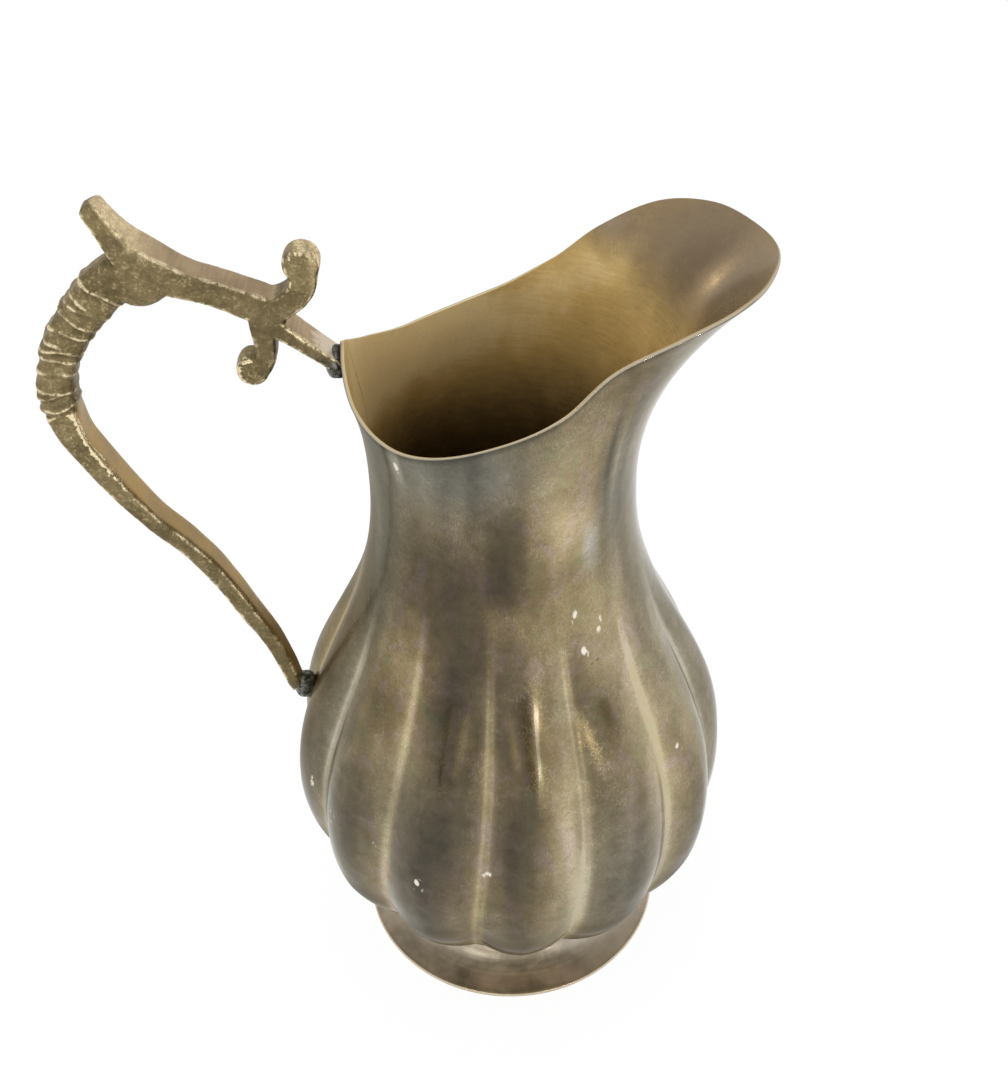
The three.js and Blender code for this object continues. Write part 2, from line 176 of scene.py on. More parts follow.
# Builds one node tree, a material's or the world's
class Paint:
    def __init__(self, owner):
        owner.use_nodes = True
        self.owner, self.tree = owner, owner.node_tree
        self.tree.nodes.clear()

    # Any node: settings first, then values or wires for its sockets, by name or number
    def node(self, kind, settings, sockets, out=0):
        made = self.tree.nodes.new(kind)
        for key, value in settings.items():
            if key == "stops":
                while len(made.color_ramp.elements) < len(value):
                    made.color_ramp.elements.new(0.5)
                for element, (position, colour) in zip(made.color_ramp.elements, value):
                    element.position, element.color = position, (*colour, 1)
            else:
                setattr(made, key, value)
        for key, value in sockets.items():
            socket = made.inputs[key]
            if isinstance(value, Wire):
                self.tree.links.new(value.socket, socket)
            elif isinstance(value, tuple) and len(value) == 3 and socket.type == "RGBA":
                socket.default_value = (*value, 1)
            else:
                socket.default_value = value
        return Wire(self, made.outputs[out]) if made.outputs else made

    def millimetres(self, stretch=(1, 1, 1), turn=(0, 0, 0)):
        place = self.node("ShaderNodeTexCoord", {}, {}, "Object")
        scale = tuple(1000 * s for s in stretch)
        return self.node("ShaderNodeMapping", {}, {"Vector": place, "Rotation": turn, "Scale": scale})

    def attribute(self, name):
        return self.node("ShaderNodeAttribute", {"attribute_name": name}, {}, "Fac")

    def noise(self, place, size, detail=3, rough=0.5, swirl=0.0):
        sockets = {"Vector": place, "Scale": 1 / size, "Detail": detail, "Roughness": rough}
        return self.node("ShaderNodeTexNoise", {}, sockets | {"Distortion": swirl})

    def cells(self, place, size):
        return self.node("ShaderNodeTexVoronoi", {}, {"Vector": place, "Scale": 1 / size})

    # 0 below low, 1 above high, smooth between; low above high turns it round
    def step(self, value, low, high):
        sockets = {"Value": value, 1: low, 2: high, 3: 0.0, 4: 1.0}
        return self.node("ShaderNodeMapRange", {"interpolation_type": "SMOOTHSTEP"}, sockets)

    def blend(self, share, first, second):
        return self.node("ShaderNodeMix", {"data_type": "RGBA"}, {0: share, 6: first, 7: second}, 2)

    # Colours laid over one another, each by its share
    def over(self, colour, *coats):
        for share, coat in coats:
            colour = self.blend(share, colour, coat)
        return colour

    def ramp(self, value, stops):
        return self.node("ShaderNodeValToRGB", {"stops": stops}, {0: value})

    def relief(self, height, depth, under=None):
        sockets = {"Height": height, "Distance": depth / 1000, "Strength": 1.0}
        if under:
            sockets["Normal"] = under
        return self.node("ShaderNodeBump", {}, sockets)

    def ray(self, kind):
        return self.node("ShaderNodeLightPath", {}, {}, f"Is {kind} Ray")

    # Thin lines where a stretched noise crosses its middle value
    def hairlines(self, place, size, width):
        value = self.noise(place, size, 1, 0.4, 0.8)
        away = value.maths("ABSOLUTE", value - 0.5)
        return self.step(away, width, width * 0.2)

    def surface(self, sockets, constants):
        shader = self.tree.nodes.new("ShaderNodeBsdfPrincipled")
        for key, value in constants.items():
            shader.inputs[key].default_value = value
        for key, wire in sockets.items():
            self.tree.links.new(wire.socket, shader.inputs[key])
        output = self.tree.nodes.new("ShaderNodeOutputMaterial")
        self.tree.links.new(shader.outputs[0], output.inputs[0])
        return self.owner


# Ramp stops at even steps from 0 to 1
def evenStops(*colours):
    return [(i / (len(colours) - 1), colour) for i, colour in enumerate(colours)]


# Sheet brass of the body: patina and painted reflections from dark to light by the tone kept on its points,
# warm inside with painted shade deeper in, bare edge, painted glints
sheetLook = {
    "tones": evenStops(
        (0.043, 0.03, 0.013), (0.102, 0.071, 0.029), (0.208, 0.15, 0.065), (0.37, 0.283, 0.142),
        (0.6, 0.48, 0.27),
    ),
    "coolTones": evenStops(
        (0.05, 0.045, 0.034), (0.115, 0.107, 0.08), (0.205, 0.197, 0.153), (0.335, 0.33, 0.28),
        (0.5, 0.52, 0.5),
    ),
    "pinkTones": evenStops(
        (0.055, 0.036, 0.026), (0.125, 0.085, 0.062), (0.245, 0.175, 0.128), (0.42, 0.315, 0.235),
        (0.66, 0.52, 0.39),
    ),
    "oliveTones": evenStops(
        (0.035, 0.032, 0.014), (0.086, 0.077, 0.033), (0.18, 0.163, 0.072), (0.335, 0.31, 0.15),
        (0.56, 0.52, 0.29),
    ),
    "insideTones": [
        (0.0, (0.2, 0.135, 0.06)),
        (0.35, (0.41, 0.28, 0.105)),
        (0.7, (0.74, 0.52, 0.19)),
        (1.0, (1.0, 0.8, 0.42)),
    ],
    "insideGrey": (0.33, 0.25, 0.17),
    "edge": (0.66, 0.58, 0.44),
    "scratch": (0.66, 0.57, 0.4),
    "bare": (0.95, 0.89, 0.76),
    "scratchTurns": [(0.4, 0.9, 0.2), (1.3, 0.3, 1.1), (2.2, 1.4, 0.5), (0.9, 2.3, 1.9)],
    "scratchSize": 0.7,
    "scratchWidth": 0.038,
    "scratchDepth": 0.009,
    "dimple": 6.5,
    "dimpleDepth": 0.028,
    "pock": 2.2,
    "pit": 3.4,
    "spot": 2.1,
    "grazing": (0.62, 0.59, 0.51),
}


def sheetBrass(look):
    paint = Paint(bpy.data.materials.new("agedSheetBrass"))
    place = paint.millimetres()
    inside = paint.attribute("inside")
    edge = paint.attribute("edge")
    tone = paint.attribute("tone")
    mottle = paint.noise(place, 4.5, 5, 0.62, 0.5)
    fine = paint.noise(place, 1.2, 4, 0.7, 1.6)
    grain = paint.noise(place, 0.35, 2, 0.5)
    # The tone carries rubbed patina and painted reflections together
    rubbed = tone + (mottle - 0.5) * 0.3 + (fine - 0.5) * (0.22 + tone * 0.34) + (grain - 0.5) * 0.14
    hue = paint.noise(paint.millimetres((1, 1, 0.45)), 8, 5, 0.65, 1.4)
    outside = paint.over(
        paint.ramp(rubbed, look["tones"]),
        (paint.step(hue, 0.52, 0.64) * 0.75, paint.ramp(rubbed, look["pinkTones"])),
        (paint.step(hue, 0.47, 0.36) * 0.75, paint.ramp(rubbed, look["oliveTones"])),
        (paint.attribute("cool"), paint.ramp(rubbed, look["coolTones"])),
    )
    rings = paint.noise(paint.millimetres((0.12, 0.12, 1)), 0.7, 4, 0.75)
    within = tone + (mottle - 0.5) * 0.3 + (rings - 0.5) * 0.36 + (fine - 0.5) * 0.2
    warm = paint.over(
        paint.ramp(within, look["insideTones"]),
        (paint.attribute("grey"), look["insideGrey"]),
        (paint.attribute("seam") * paint.step(fine, 0.4, 0.6), look["tones"][1][1]),
    )
    scratches = sum(
        paint.hairlines(paint.millimetres((1, 1, 0.3), turn), look["scratchSize"], look["scratchWidth"])
        * paint.step(paint.noise(place, 5 + 2 * i, 2, 0.5), 0.51, 0.66)
        for i, turn in enumerate(look["scratchTurns"])
    )
    pocked = paint.attribute("pocked")
    pocks = paint.step(paint.cells(place, look["pock"]), 0.42, 0.06)
    pocks *= paint.step(pocked + (mottle - 0.5), 0.25, 0.6)
    upright = paint.millimetres((1, 1, 0.6))
    # Painted glints: small light spots in the glint places
    spots = paint.step(paint.cells(upright, look["spot"]) + (fine - 0.5) * 0.5, 0.46, 0.26)
    bare = spots * paint.step(paint.attribute("glint"), 0.3, 0.6)
    pits = paint.step(paint.cells(place, look["pit"]), 0.12, 0.04) * paint.step(mottle, 0.52, 0.64)
    pits *= 1 - inside
    colour = paint.over(
        paint.blend(inside, outside, warm),
        (scratches * (tone * 0.4 - 0.04), look["scratch"]),
        (edge, look["edge"]),
        (bare * 0.9, look["bare"]),
        (pits * 0.4, look["tones"][0][1]),
    )
    gloss = paint.attribute("gloss")
    rough = 0.4 - gloss * 0.27 + mottle * 0.14 - edge * 0.12 + scratches * 0.06 + pits * 0.15 - pocked * 0.1
    height = scratches * 0.5 + rings * inside * 0.6 - pits * 1.2 + fine * 0.7 + grain * 0.3
    dimples = paint.step(paint.cells(place, look["dimple"]), 0.0, 0.16) * (1 - inside)
    dented = paint.relief(dimples - pocks * 3, look["dimpleDepth"])
    return paint.surface(
        {
            "Base Color": colour,
            "Roughness": rough,
            "Metallic": 0.95 - paint.attribute("dull") * 0.5,
            "Coat Weight": (1 - inside) * gloss * (0.35 + mottle * 0.5),
            "Normal": paint.relief(height, look["scratchDepth"], dented),
        },
        {"Coat Roughness": 0.06, "Coat IOR": 1.5, "Specular Tint": (*look["grazing"], 1)},
    )


# Spun foot: turning lines round the axis, red-brown worn lip, and a painted pale reflection on the +X side,
# half as strong on the -X side
footLook = {
    "dark": (0.35, 0.29, 0.2),
    "light": (0.62, 0.53, 0.39),
    "red": (0.8, 0.6, 0.48),
    "bright": (0.66, 0.55, 0.37),
    "pale": (0.95, 0.84, 0.7),
    "line": 0.8,
    "lineDepth": 0.012,
}


def spunBrass(look):
    paint = Paint(bpy.data.materials.new("spunFootBrass"))
    place = paint.millimetres()
    out, worn, pale = map(paint.attribute, ("out", "worn", "pale"))
    mottle = paint.noise(place, 6, 5, 0.6, 0.3)
    away = paint.node("ShaderNodeCombineXYZ", {}, {0: out, 1: mottle * 0.4})
    lines = paint.noise(away, look["line"], 3, 0.6)
    reddish = paint.step(out, 35, 43) * paint.step(paint.noise(place, 13, 3), 0.4, 0.6)
    colour = paint.over(
        paint.blend(paint.step(mottle * 0.7 + lines * 0.3, 0.38, 0.66), look["dark"], look["light"]),
        (reddish * 0.75, look["red"]),
        # Pale painted reflection laid over the foot's colour
        (pale * (0.55 + mottle * 0.6), look["pale"]),
        (worn * (0.5 + mottle * 0.5), look["bright"]),
    )
    return paint.surface(
        {
            "Base Color": colour,
            "Roughness": 0.28 + mottle * 0.16 - worn * 0.1,
            "Normal": paint.relief(lines + paint.noise(place, 0.6, 2) * 0.4, look["lineDepth"]),
        },
        {"Metallic": 0.85, "Coat Weight": 0.2, "Coat Roughness": 0.12},
    )


# Cast brass of the handle: sandy sides, filed upper faces with lines across, bright worn edges
castLook = {
    "deep": (0.13, 0.098, 0.046),
    "side": (0.3, 0.235, 0.115),
    "speck": (0.66, 0.55, 0.33),
    "filed": (0.5, 0.365, 0.22),
    "line": (0.36, 0.26, 0.15),
    "strap": (0.44, 0.29, 0.11),
    "smooth": (0.9, 0.73, 0.42),
    "tin": (0.86, 0.75, 0.6),
    "flux": (0.05, 0.05, 0.036),
    "worn": (0.9, 0.75, 0.48),
    "sand": 0.65,
    "sandDepth": 0.11,
}


def castBrass(look):
    paint = Paint(bpy.data.materials.new("castHandleBrass"))
    place = paint.millimetres()
    worn, hollow, filed, strap = map(paint.attribute, ("worn", "hollow", "filed", "strap"))
    sand = paint.noise(place, look["sand"], 3, 0.6)
    clumps = paint.noise(place, 2.4, 4, 0.6, 0.6)
    patches = paint.noise(place, 8, 3)
    across = paint.noise(paint.millimetres((1, 0.08, 1)), 0.6, 3, 0.6)
    cloudy = paint.step(clumps * 0.3 + sand * 0.3 + patches * 0.4, 0.34, 0.62)
    specks = paint.step(sand * 0.5 + clumps * 0.4 + patches * 0.1, 0.53, 0.62)
    face = paint.blend(strap, look["filed"], look["strap"])
    face = paint.blend(paint.step(across * 0.6 + patches * 0.4, 0.58, 0.38) * 0.6, face, look["line"])
    gold = paint.attribute("rubbed") * (0.35 + paint.step(clumps * 0.5 + sand * 0.5, 0.42, 0.6) * 0.65)
    smear = paint.step(paint.attribute("tinned") + (clumps - 0.5) * 1.2 + (sand - 0.5) * 0.5, 0.4, 0.9)
    flux = paint.step(paint.attribute("fluxed") + (clumps - 0.5) * 0.8, 0.3, 0.8)
    broken = paint.step(clumps * 0.6 + sand * 0.4, 0.38, 0.56)
    chips = paint.step(paint.attribute("chipped") + (sand - 0.5) * 0.8 + (clumps - 0.5) * 1.6, 0.45, 0.7)
    wear = (worn * broken).larger(chips)
    colour = paint.over(
        paint.blend(cloudy, look["deep"], look["side"]),
        (specks * 0.38, look["speck"]),
        (hollow * 0.55, look["deep"]),
        (paint.attribute("low") * 0.5, look["deep"]),
        (filed * (0.6 + patches * 0.6), face),
        (gold, look["smooth"]),
        (smear * 0.7, look["tin"]),
        (flux, look["flux"]),
        (wear, look["worn"]),
    )
    rough = 0.42 - filed * 0.08 - wear * 0.2 + sand * 0.14 + hollow * 0.1
    height = (sand + clumps * 1.8) * (1.1 - filed * 0.9) + across * filed * 0.4
    return paint.surface(
        {"Base Color": colour, "Roughness": rough, "Normal": paint.relief(height, look["sandDepth"])},
        {"Metallic": 0.92},
    )


# Soft solder: dull grey, dark greenish where flux has stayed
solderLook = {
    "grey": (0.30, 0.28, 0.25),
    "pale": (0.50, 0.48, 0.45),
    "flux": (0.045, 0.05, 0.038),
    "lumpDepth": 0.12,
}


def softSolder(look):
    paint = Paint(bpy.data.materials.new("softSolder"))
    place = paint.millimetres()
    clumps = paint.noise(place, 1.6, 4, 0.6, 0.4)
    fine = paint.noise(place, 0.5, 3)
    colour = paint.ramp(clumps, [(0.42, look["flux"]), (0.62, look["grey"]), (0.8, look["pale"])])
    sockets = {"Base Color": colour, "Roughness": 0.42 + fine * 0.25}
    sockets["Normal"] = paint.relief(clumps + fine * 0.4, look["lumpDepth"])
    return paint.surface(sockets, {"Metallic": 0.85})


sheetBrassLook = sheetBrass(sheetLook)
spunBrassLook = spunBrass(footLook)
castBrassLook = castBrass(castLook)
solderFinish = softSolder(solderLook)
print("materials made")

# Body: profile, lobes and helmet mouth
body = {
    "sheet": 1.0,
    "bottom": 8.3,
    "dish": 15,
    "baseRadius": 29,
    "heelFlat": 3.4,
    "heelOut": 5.5,
    "heelUp": 2.5,
    "heelPull": 25,
    "heelLean": 49,
    "bellyRadius": 61.0,
    "bellyRise": 56,
    "underBellyPull": 24,
    "overBellyPull": 44,
    "underWaistPull": 49,
    "waistRadius": 33.3,
    "waistRise": 157,
    "lobes": 13,
    "creaseAzimuth": 178,
    "creaseDepth": 3.5,
    "creaseRound": 0.09,
    "twist": 6,
    "twistRise": 100,
    "lobeRises": (1, 8, 78, 134),
    "flarePower": 2.3,
    "rimAzimuths": (0, 13, 25, 38, 52, 68, 92, 130, 154, 180),
    "rimRadii": (62.7, 60.4, 56.4, 49.4, 40.4, 36.8, 33.6, 35.7, 37.3, 37.3),
    "rimRises": (60.6, 60.2, 59.8, 57.1, 50.1, 40.2, 32.2, 26.2, 29.6, 38.9),
    "columnsPerLobe": 28,
    "rowsOutside": (4, 8, 40, 52, 52),
    "rowsInside": (2, 4, 24, 30, 36),
    "rimRows": (0.986, 0.994, 0.998, 1),
    "waviness": 0.11,
    "dents": 24,
    "dentHeights": (18, 150),
    "dentWidths": (1.2, 3.0),
    "dentDepths": (0.02, 0.06),
    "rowsWithoutDents": 12,
    # Rows over the bare edge of the rim: share of the way across, distance out, brightness
    "lip": [(0.12, 0.10, 0.6), (0.5, 0.14, 0.9), (0.88, 0.10, 0.2)],
    # Painted reflection, a soft light band low on the belly: heights between which it lies, how far down it
    # faces, width, tone
    "bandHeights": (16, 24, 52, 60),
    "paintedReflectionBand": (-0.44, 0.06, 0.2),
    # Places of rubbed and dark patina and of painted reflections: azimuth, height, half across, half up,
    # change of tone, hardness of the edge
    "places": [
        (254, 105, 16, 70, -0.22), (296, 76, 9, 15, 0.17), (304, 86, 5, 16, 0.14),
        (244, 104, 5, 18, 0.14), (273, 112, 6, 34, -0.14), (252, 84, 9, 16, -0.07),
        (272, 80, 7, 18, -0.14), (287.5, 88, 3, 34, 0.4), (260, 148, 7, 7, 0.14), (283, 96, 5, 44, 0.26),
        (288.5, 84, 2.6, 14, -0.34), (319, 100, 10, 44, 0.36), (336, 98, 8, 24, 0.3),
        (348, 128, 10, 30, 0.16), (206, 172, 6, 34, 0.2), (206, 100, 8, 40, -0.06),
        (235, 66, 14, 34, -0.07), (292, 52, 9, 14, 0.06), (314.5, 190, 1, 14, -0.34),
        (319, 186, 0.9, 18, 0.25), (325, 190, 1.2, 20, -0.2), (231, 104, 9, 24, 0.06),
        (292, 142, 14, 16, 0.17), (310, 148, 9, 16, 0.18), (252, 150, 10, 14, -0.16),
        (270.5, 165, 5, 15, -0.30, 6), (240, 182, 10, 14, 0.26), (228, 136, 7, 16, 0.2),
        (258, 190, 8, 12, -0.12), (296, 184, 8, 13, 0.2, 3), (301, 169, 8, 9, 0.4, 3),
        (308, 162, 2.6, 7, 0.16, 3), (226, 188, 1.6, 7, 0.3, 4), (60, 90, 20, 30, -0.14),
        (110, 70, 14, 30, 0.16), (80, 180, 14, 22, 0.14), (130, 150, 16, 20, -0.16),
        (20, 120, 12, 30, 0.12),
    ],
    # Groups of painted glints, small light spots
    "glints": [
        (202, 73, 1.6, 3.4, 1), (216, 75, 1.8, 3.6, 1), (232, 75, 1.5, 2.2, 1), (246, 71, 2.2, 2.6, 1),
        (264, 76, 2.0, 2.0, 0.8), (299, 143, 1.5, 3.0, 1), (308, 140, 1.7, 3.4, 1),
        (300, 133, 1.7, 2.6, 0.9), (326, 95, 1.5, 2.0, 0.8), (226, 187, 0.9, 3.0, 0.9),
        (40, 96, 1.8, 2.8, 1), (88, 120, 1.5, 2.4, 0.9), (128, 80, 1.6, 2.4, 1),
    ],
    # Patches of small sharp dents
    "pockedPlaces": [
        (206, 72, 9, 8, 0.6), (246, 74, 12, 8, 0.6), (248, 104, 6, 6, 0.8), (303, 139, 7, 10, 1),
        (326, 96, 3, 4, 0.7), (240, 150, 10, 10, 0.6), (296, 176, 8, 14, 0.5), (40, 96, 6, 10, 0.9),
        (128, 80, 6, 8, 0.8),
    ],
    # Duller places outside
    "dullPlaces": [(185, 160, 30, 90, 1.2, 3), (283, 113, 5, 4.2, 1.2)],
    # Greyer, cooler places, partly patina and partly painted cool reflections, with the share of the cooler
    # colour
    "coolPlaces": [
        (238, 188, 18, 14, 0.6), (260, 190, 12, 10, 0.7), (322, 176, 6, 20, 0.8),
        (308, 162, 2.6, 7, 0.7, 3), (207, 165, 8, 50, 0.9), (205, 80, 8, 50, 0.4), (302, 78, 13, 22, 0.5),
        (265, 24, 60, 12, 0.4), (346, 110, 12, 60, 0.4), (70, 185, 30, 30, 0.6), (120, 120, 20, 50, 0.4),
    ],
    # Painted light and shade inside, lighter and darker places on the inner walls; and greyer places inside
    "insidePlaces": [
        (148, 190, 26, 16, 0.46), (122, 187, 20, 12, 0.26), (95, 190, 24, 11, 0.16),
        (46, 207, 10, 7, 0.42), (64, 200, 8, 8, 0.16), (13, 218, 36, 14, -0.68), (40, 182, 20, 12, -0.1),
        (176, 186, 14, 14, 0.14), (160, 194, 16, 9, 0.14),
    ],
    "greyPlaces": [
        (8, 220, 33, 13, 0.7, 3), (150, 186, 18, 18, 0.15), (48, 217, 4, 3, 0.6),
    ],
    # Fine dark line inside behind the handle, perhaps the sheet's own join
    "seamAzimuth": 176.5,
    "seamWidth": (0.2, 0.9),
    "seamEnds": (176, 185),
}
waistZ = body["bottom"] + body["waistRise"]


# Radius over height from the flat bottom to the waist: a heel curve, a lower and an upper belly curve
def bellyProfile(rows):
    base, bottom, crestZ = body["baseRadius"], body["bottom"], body["bottom"] + body["bellyRise"]
    heel = np.array((base + body["heelOut"], bottom + body["heelUp"]))
    lean = math.radians(body["heelLean"])
    leave = heel + np.array((math.cos(lean), math.sin(lean))) * body["heelPull"]
    crest = (body["bellyRadius"], crestZ)
    flat = bezier([(body["dish"], bottom), (base, bottom)], rows[0])[:-1]
    turn = bezier([(base, bottom), (base + body["heelFlat"], bottom), heel], rows[1])[:-1]
    lower = bezier([heel, leave, (crest[0], crestZ - body["underBellyPull"]), crest], rows[2])[:-1]
    waist = (body["waistRadius"], waistZ)
    aboveCrest = (crest[0], crestZ + body["overBellyPull"])
    belowWaist = (waist[0], waistZ - body["underWaistPull"])
    upper = bezier([crest, aboveCrest, belowWaist, waist], rows[3])
    return np.vstack([flat, turn, lower, upper])


# Place across a lobe: -1 and 1 on its creases, 0 in its middle
def acrossLobe(azimuth):
    turns = (azimuth - math.radians(body["creaseAzimuth"])) / (2 * math.pi) * body["lobes"]
    return 2 * (turns - np.floor(turns)) - 1


# How far into a crease an azimuth lies: 1 on the crease, falling by a rounded square to 0 in the middle
def creaseShare(azimuth):
    away = 1 - np.abs(acrossLobe(azimuth))
    rounded = np.hypot(away, body["creaseRound"]) - body["creaseRound"]
    return (1 - rounded) ** 2


# Outer surface as rows of rings: belly radius less the crease depth, then the neck,
# whose radius grows from the waist to the rim as the row's share to the flare power.
# The columns turn a little with the height, and the creases with them.
def bodySurface(rows, azimuth):
    profile = bellyProfile(rows)
    start, full, fade, end = body["lobeRises"]
    rise = profile[:, 1] - body["bottom"]
    strength = smooth(rise, start, full) * (1 - smooth(rise, fade, end))
    radius = profile[:, :1] - body["creaseDepth"] * strength[:, None] * creaseShare(azimuth)[None]
    height = np.repeat(profile[:, 1:], len(azimuth), 1)
    share = np.append(np.arange(1, rows[4]) / rows[4], body["rimRows"])[:, None]
    turn = smooth(np.append(rise, np.full(len(share), body["waistRise"])), 0, body["twistRise"]) - 0.5
    azimuth = azimuth + (math.radians(body["twist"]) * turn)[:, None]
    fromSpout = np.degrees(np.abs(np.arctan2(np.sin(azimuth[-1]), np.cos(azimuth[-1]))))[None]
    rim = through(body["rimAzimuths"], body["rimRadii"], fromSpout)
    rise = through(body["rimAzimuths"], body["rimRises"], fromSpout)
    neck = body["waistRadius"] + (rim - body["waistRadius"]) * share ** body["flarePower"]
    radius = np.vstack([radius, neck])
    height = np.vstack([height, waistZ + rise * share])
    return np.stack([radius * np.cos(azimuth), radius * np.sin(azimuth), height], -1)


# Sum of places on a surface: each is its value times e to the minus distance round and up, both raised
# to the hardness, 2 for a bell curve
def placed(points, places):
    azimuth = np.arctan2(points[..., 1], points[..., 0])
    radius = np.hypot(points[..., 0], points[..., 1])
    total = np.zeros(points.shape[:-1])
    for degrees, height, across, up, value, *hardness in places:
        power = hardness[0] if hardness else 2
        away = azimuth - math.radians(degrees)
        sideways = np.abs(np.arctan2(np.sin(away), np.cos(away))) * radius / across
        total += value * np.exp(-(sideways**power) - np.abs((points[..., 2] - height) / up) ** power)
    return total


def covered(points, key):
    return np.clip(placed(points, body[key]), 0, 1)


# Tone of the patina and of painted reflections, 0 dark to 1 light: upright streaks and blotches of patina, a
# painted reflection lighter towards one side of each lobe and darker on the low crests and low on the belly,
# and lighter along the creases, partly wear and partly painted reflection
def patinaAndPaintedLight(points, azimuth):
    across = acrossLobe(azimuth)[None]
    z = points[..., 2]
    belly = smooth(z, 16, 40) * (1 - smooth(z, 110, 150))
    upright = points * (1, 1, 0.13)
    tone = 0.4 + 0.13 * lumps(upright, 8, 31) + 0.10 * lumps(upright, 3.4, 32) + 0.10 * lumps(points, 24, 33)
    # Painted reflection: lighter towards one side of each lobe, darker on the crests low on the belly, and
    # darker in a band low on the belly
    tone += 0.08 * across * belly
    tone -= 0.16 * np.cos(across * math.pi / 2) ** 2 * belly * (1 - smooth(z, 70, 110))
    tone -= 0.16 * (1 - smooth(z, 30, 62)) * smooth(z, 20, 26)
    # Lighter along the creases: partly wear, partly painted reflection
    share = creaseShare(azimuth)[None]
    broken = 0.7 + 0.3 * lumps(upright, 6, 34)
    crease = 0.5 * smooth(share, 0.78, 0.98) + 0.12 * smooth(share, 0.3, 0.8)
    tone += crease * broken * smooth(z, 10, 18) * (1 - smooth(z, 115, 150))
    # Places of rubbed and dark patina and of painted reflections
    tone += placed(points, body["places"])
    # Cooler colour: random patina, and cool places that are partly painted reflections
    cool = 0.12 + 0.2 * lumps(points, 30, 35) + placed(points, body["coolPlaces"])
    return tone, np.clip(cool, 0, 1)


# Unit normals of rings: the way round crossed with the way up
def ringNormals(points):
    around = np.roll(points, -1, 1) - np.roll(points, 1, 1)
    up = np.gradient(points, axis=0)
    normal = np.cross(around, up)
    return normal / np.linalg.norm(normal, axis=-1, keepdims=True)


# Slow waves of hand-worked sheet and small dents, each sunk by a bell curve of the distance to its middle
def handwork(points):
    flatness = body["waviness"] * (lumps(points, 19, 3) + 0.5 * lumps(points, 9, 4))
    keep = smooth(points[..., 2], body["bottom"] + 1, body["bottom"] + 8)
    random = np.random.default_rng(21)
    azimuth = random.uniform(0, 2 * math.pi, body["dents"])
    z = random.uniform(*body["dentHeights"], body["dents"])
    wide = random.uniform(*body["dentWidths"], body["dents"])
    deep = random.uniform(*body["dentDepths"], body["dents"])
    rings = points[:, 0, 2]
    flat = (np.arange(len(rings)) < body["rowsWithoutDents"]) * 1000
    for a, rise, size, depth in zip(azimuth, z, wide, deep):
        row = np.argmin(np.abs(rings - rise) + flat)
        column = int(a / (2 * math.pi) * points.shape[1])
        away = np.linalg.norm(points - points[row, column], axis=-1)
        flatness -= depth * np.exp(-((away / size) ** 2))
    return points + ringNormals(points) * (flatness * keep)[..., None]


def makeBody():
    columns = body["lobes"] * body["columnsPerLobe"]
    azimuth = math.radians(body["creaseAzimuth"]) + np.arange(columns) / columns * 2 * math.pi
    outer, inner = (handwork(bodySurface(body[key], azimuth)) for key in ("rowsOutside", "rowsInside"))
    inner = (inner - ringNormals(inner) * body["sheet"])[::-1]
    along = outer[-1] - outer[-2]
    along /= np.linalg.norm(along, axis=-1, keepdims=True)
    over, out, bright = np.array(body["lip"]).T[..., None, None]
    lip = outer[-1] * (1 - over) + inner[0] * over + along * out
    rings = np.concatenate([outer, lip, inner])
    rows = len(outer)
    x, y, z = np.moveaxis(rings, -1, 0)
    tone, cool = patinaAndPaintedLight(rings, azimuth)
    # Painted reflection: a light band on the lower belly where the sheet faces a set way down
    under = ringNormals(outer)[..., 2]
    start, full, fade, end = body["bandHeights"]
    low = smooth(outer[..., 2], start, full) * (1 - smooth(outer[..., 2], fade, end))
    facing, width, light = body["paintedReflectionBand"]
    tone[:rows] += light * np.exp(-(((under - facing) / width) ** 2)) * low
    inside, edge = np.zeros(z.shape), np.zeros(z.shape)
    inside[rows + 1 :] = 1
    edge[rows : rows + len(lip)] = bright[..., 0]
    underRim = np.exp(-((np.linalg.norm(rings - outer[-1], axis=-1) / 1.2) ** 2))
    # Painted shade inside: darker deeper in, with painted lighter and darker places on the inner walls
    depth = smooth(z, 190, 146)
    within = 0.64 - 0.36 * depth + placed(rings, body["insidePlaces"])
    within += 0.08 * lumps(rings * (1, 1, 0.5), 7, 37)
    gloss = (1 - inside) * (1 - 0.8 * covered(rings, "dullPlaces"))
    gloss[:rows] *= 1 - 0.7 * smooth(-under, 0.1, 0.3) * low
    gloss += inside * 0.9 * smooth(z, 200, 212) * (x > 0)
    away = y - np.hypot(x, y) * math.sin(math.radians(body["seamAzimuth"]))
    away += 0.25 * lumps(rings, 5, 36)
    seam = (1 - smooth(np.abs(away), *body["seamWidth"])) * (x < 0) * smooth(z, *body["seamEnds"])
    values = {
        "inside": inside,
        "edge": edge,
        "tone": np.where(inside > 0, within, tone - 0.25 * underRim),
        "cool": cool,
        "dull": inside * (1 - depth),
        "grey": covered(rings, "greyPlaces"),
        "gloss": gloss,
        "pocked": covered(rings, "pockedPlaces") * (1 - inside),
        "glint": covered(rings, "glints") * (1 - inside),
        "seam": 0.7 * seam * inside,
    }
    values = {key: np.append(value, (value[0, 0], value[-1, -1])) for key, value in values.items()}
    points, faces = closedRings(rings)
    putPiece("jug_body", points, faces, values, sheetBrassLook, "body_shell")


makeBody()
print("body made")

# Foot ring: flared outside, hollow inside, flat tread
foot = {
    "radius": 44.6,
    "height": 8,
    "sheet": 1.3,
    "lip": 0.9,
    "lipRound": 0.35,
    "tread": 1.7,
    "neckOut": 2.2,
    "neckDrop": 4.4,
    "flareFlat": 7.5,
    "hollowFlat": 5,
    "hollowDrop": 5.2,
    "soleRound": 0.25,
    "rows": (30, 20),
    "columns": 360,
    "wobble": (0.0012, 23),
}


